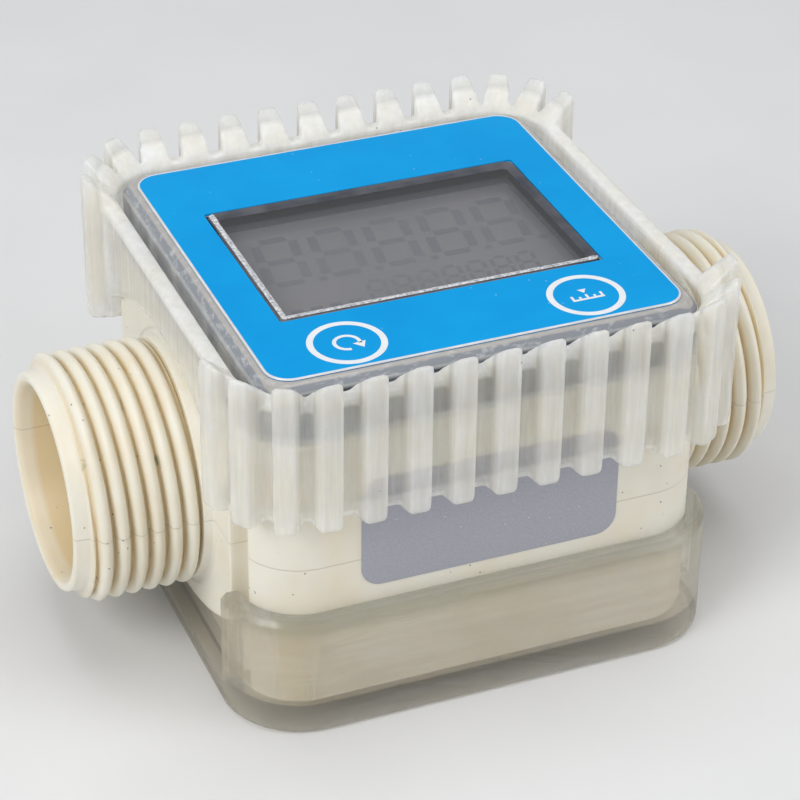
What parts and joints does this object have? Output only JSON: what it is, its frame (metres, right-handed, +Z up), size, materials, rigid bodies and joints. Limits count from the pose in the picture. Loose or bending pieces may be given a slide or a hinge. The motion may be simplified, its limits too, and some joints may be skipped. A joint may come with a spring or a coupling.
{
  "type": "turbine flow meter",
  "caption": "Inline turbine flow meter: threaded pipe ends, finned bumper sleeve, clear boot and a square display module with press keys; a turbine with twisted blades spins inside.",
  "frame": {"origin": "middle of the underside of the boot, on the floor", "axes": "+X runs along the pipe from inlet to outlet, +Z is up, -Y faces the reader with the keys in front of the display"},
  "size_m": [0.1, 0.072, 0.054],
  "materials": {
    "cream_body": "injection-moulded, satin",
    "frosted_guard": "frosted translucent soft plastic",
    "clear_boot": "clear moulded plastic",
    "clear_case": "clear moulded plastic, polished",
    "blue_film": "printed film, smooth",
    "lcd_grey": "reflective liquid crystal display",
    "dark_frame": "matt black",
    "grey_label": "satin label",
    "grey_rubber": "soft seal",
    "screw_steel": "stainless",
    "white_holder": "white moulded plastic",
    "board_green": "solder mask",
    "chip_black": "moulded epoxy",
    "black_tray": "moulded plastic",
    "cell_sleeve": "plain dark sleeve",
    "plated_contact": "nickel plated spring steel",
    "guide_nylon": "natural nylon",
    "bush_ceramic": "ceramic",
    "rotor_nylon": "natural nylon",
    "shaft_carbide": "ground carbide",
    "magnet_black": "epoxy coated"
  },
  "bodies": {
    "housing": {"meter_body": "cream_body", "fin_guard": "frosted_guard", "base_boot": "clear_boot", "display_case": "clear_case", "display_overlay": "blue_film", "lcd_panel": "lcd_grey", "lcd_bezel": "dark_frame", "side_plate": "grey_label", "case_gasket": "grey_rubber", "case_screws": "screw_steel", "lcd_holder": "white_holder", "elastomer_strips": "grey_rubber", "circuit_board": "board_green", "board_chips": "chip_black", "tact_switches": "chip_black", "pulse_sensors": "chip_black", "battery_tray": "black_tray", "battery_front": "cell_sleeve", "battery_rear": "cell_sleeve", "battery_contacts": "plated_contact", "inlet_guide": "guide_nylon", "outlet_guide": "guide_nylon", "inlet_bush": "bush_ceramic", "outlet_bush": "bush_ceramic", "inlet_ring": "screw_steel", "outlet_ring": "screw_steel"},
    "rotor": {"turbine_rotor": "rotor_nylon", "rotor_shaft": "shaft_carbide", "rotor_magnets": "magnet_black"},
    "reset_key": {"reset_button": "blue_film"},
    "calibrate_key": {"calibrate_button": "blue_film"}
  },
  "joints": [
    {"name": "rotor_spin", "type": "hinge", "parent": "housing", "child": "rotor", "pos_m": [0, 0, 0.0238], "axis": [1, 0, 0], "continuous": true},
    {"name": "reset_press", "type": "slide", "parent": "housing", "child": "reset_key", "axis": [0, 0, -1], "range_m": [0, 0.0004], "stiffness_N_per_m": 800, "springref_m": -0.0003},
    {"name": "calibrate_press", "type": "slide", "parent": "housing", "child": "calibrate_key", "axis": [0, 0, -1], "range_m": [0, 0.0004], "stiffness_N_per_m": 800, "springref_m": -0.0003}
  ]
}
